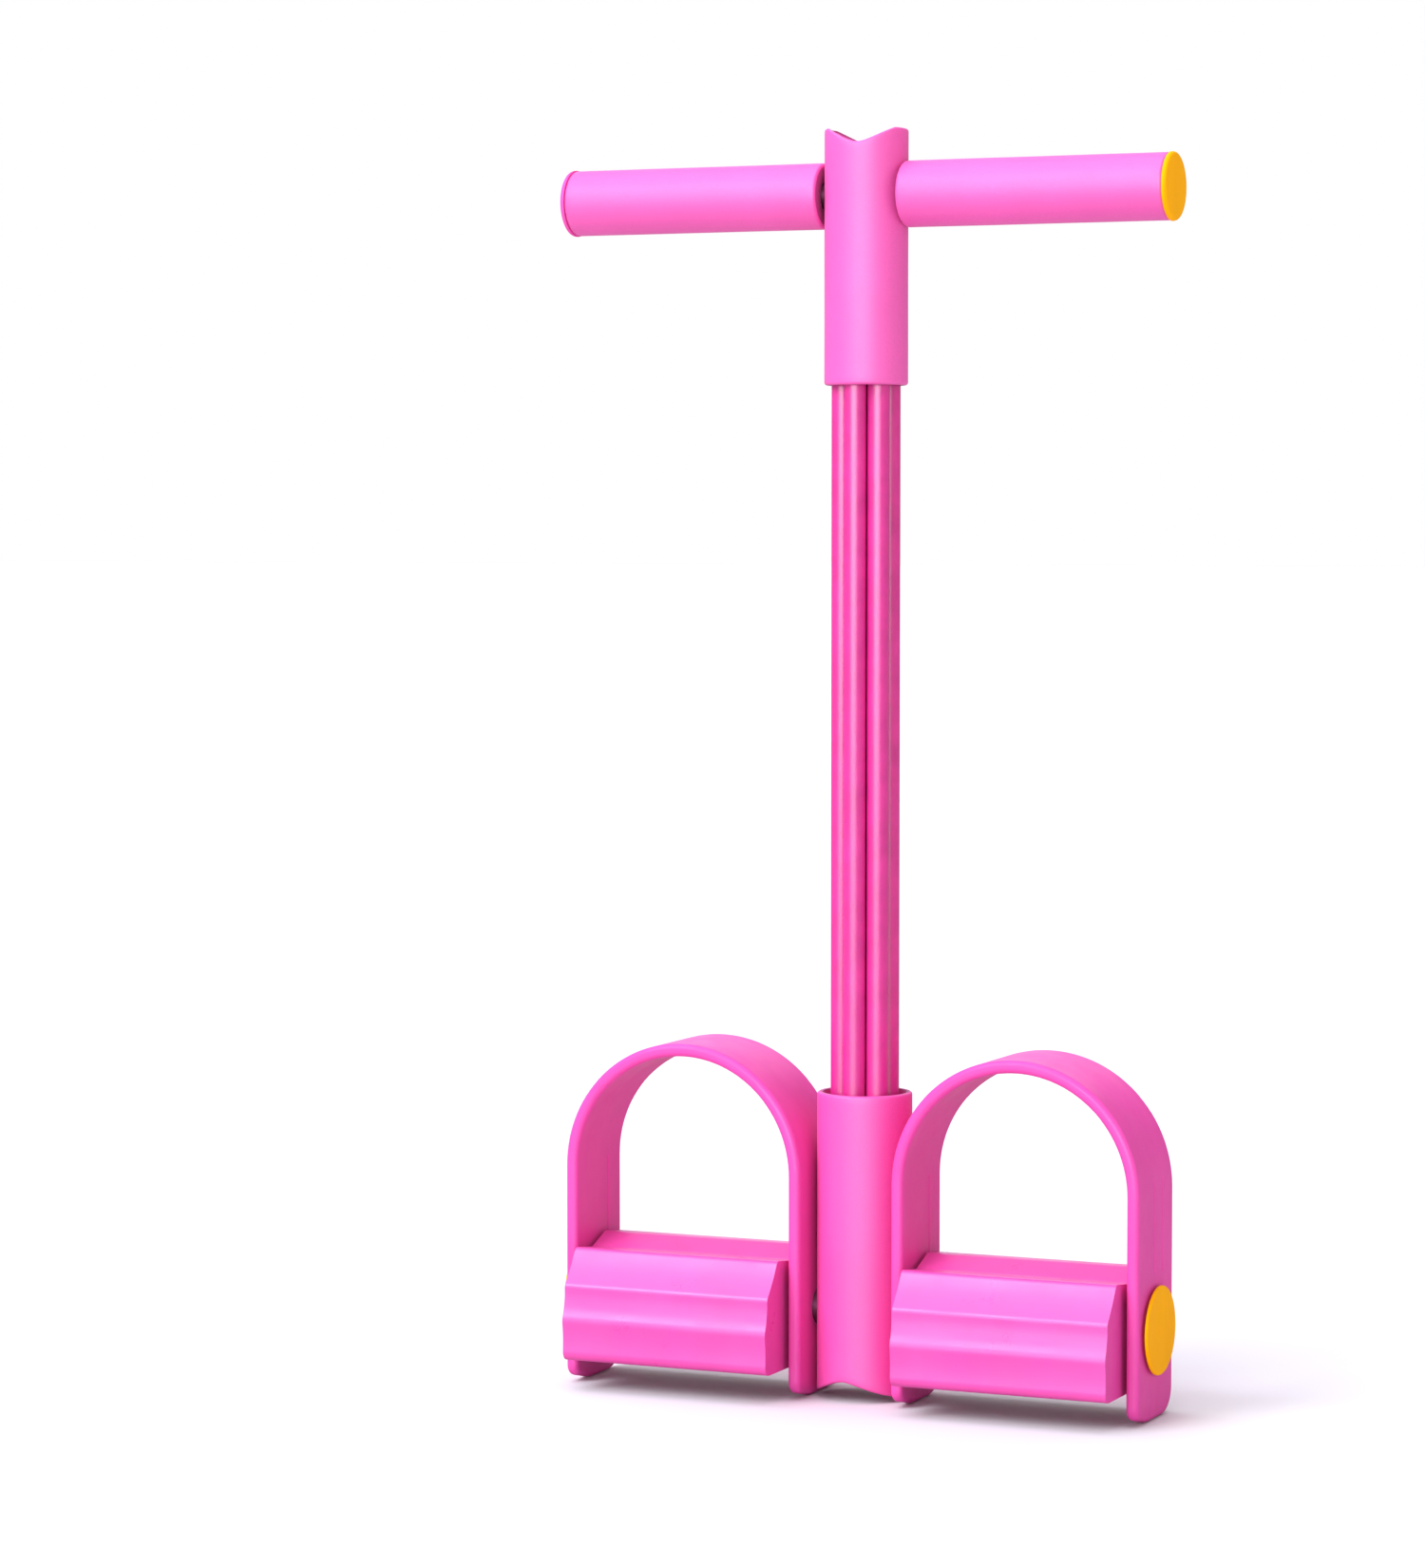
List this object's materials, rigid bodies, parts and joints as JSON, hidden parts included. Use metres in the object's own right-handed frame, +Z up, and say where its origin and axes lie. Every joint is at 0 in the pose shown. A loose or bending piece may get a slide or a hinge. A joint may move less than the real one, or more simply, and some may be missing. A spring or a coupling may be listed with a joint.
{
  "type": "foot pedal tube exerciser",
  "caption": "Pull exerciser: a straight handle with foam grips, a bundle of elastic tubes in foam sleeves, and stirrup foot pedals turning on a common axle.",
  "frame": {"origin": "middle of the footprint, on the floor under the pedals' feet", "axes": "+Z up along the tubes, X along the handle and the pedal axle, -Y towards the toes"},
  "size_m": [0.2642, 0.0624, 0.5187],
  "materials": {
    "handle_foam": "closed-cell foam, matt",
    "sleeve_foam": "closed-cell foam, matt",
    "tube_rubber": "smooth translucent elastic",
    "pedal_plastic": "moulded, satin to gloss",
    "pad_plastic": "moulded, ridged, satin to gloss",
    "cap_plastic": "moulded, gloss",
    "hub_plastic": "moulded, matt",
    "steel": "drawn tube with a dark coat"
  },
  "bodies": {
    "axle_unit": {"pedal_axle": "steel", "axle_hub": "hub_plastic", "axle_cap_left": "cap_plastic", "axle_cap_right": "cap_plastic", "lower_sleeve": "sleeve_foam", "elastic_tube_1": "tube_rubber", "elastic_tube_2": "tube_rubber", "elastic_tube_3": "tube_rubber", "elastic_tube_4": "tube_rubber", "elastic_tube_5": "tube_rubber", "elastic_tube_6": "tube_rubber"},
    "handle_mount": {"handle_hub": "hub_plastic", "upper_sleeve": "sleeve_foam"},
    "handle": {"handle_bar": "steel", "handle_grip_left": "handle_foam", "handle_grip_right": "handle_foam", "handle_cap_left": "cap_plastic", "handle_cap_right": "cap_plastic"},
    "left_stirrup": {"stirrup_left": "pedal_plastic"},
    "right_stirrup": {"stirrup_right": "pedal_plastic"},
    "left_pad": {"foot_pad_left": "pad_plastic"},
    "right_pad": {"foot_pad_right": "pad_plastic"}
  },
  "joints": [
    {"name": "tube_stretch", "type": "slide", "parent": "axle_unit", "child": "handle_mount", "axis": [0, 0, 1], "range_m": [0, 0.6], "stiffness_N_per_m": 300, "deforming": ["elastic_tube_1", "elastic_tube_2", "elastic_tube_3", "elastic_tube_4", "elastic_tube_5", "elastic_tube_6"]},
    {"name": "handle_roll", "type": "hinge", "parent": "handle_mount", "child": "handle", "pos_m": [0, 0.0093, 0.492], "axis": [1, 0, 0], "continuous": true},
    {"name": "left_stirrup_swing", "type": "hinge", "parent": "axle_unit", "child": "left_stirrup", "pos_m": [0, 0.0093, 0.0362], "axis": [1, 0, 0], "continuous": true},
    {"name": "left_pad_turn", "type": "hinge", "parent": "axle_unit", "child": "left_pad", "pos_m": [0, 0.0093, 0.0362], "axis": [1, 0, 0], "continuous": true},
    {"name": "right_stirrup_swing", "type": "hinge", "parent": "axle_unit", "child": "right_stirrup", "pos_m": [0, 0.0093, 0.0362], "axis": [1, 0, 0], "continuous": true},
    {"name": "right_pad_turn", "type": "hinge", "parent": "axle_unit", "child": "right_pad", "pos_m": [0, 0.0093, 0.0362], "axis": [1, 0, 0], "continuous": true}
  ]
}
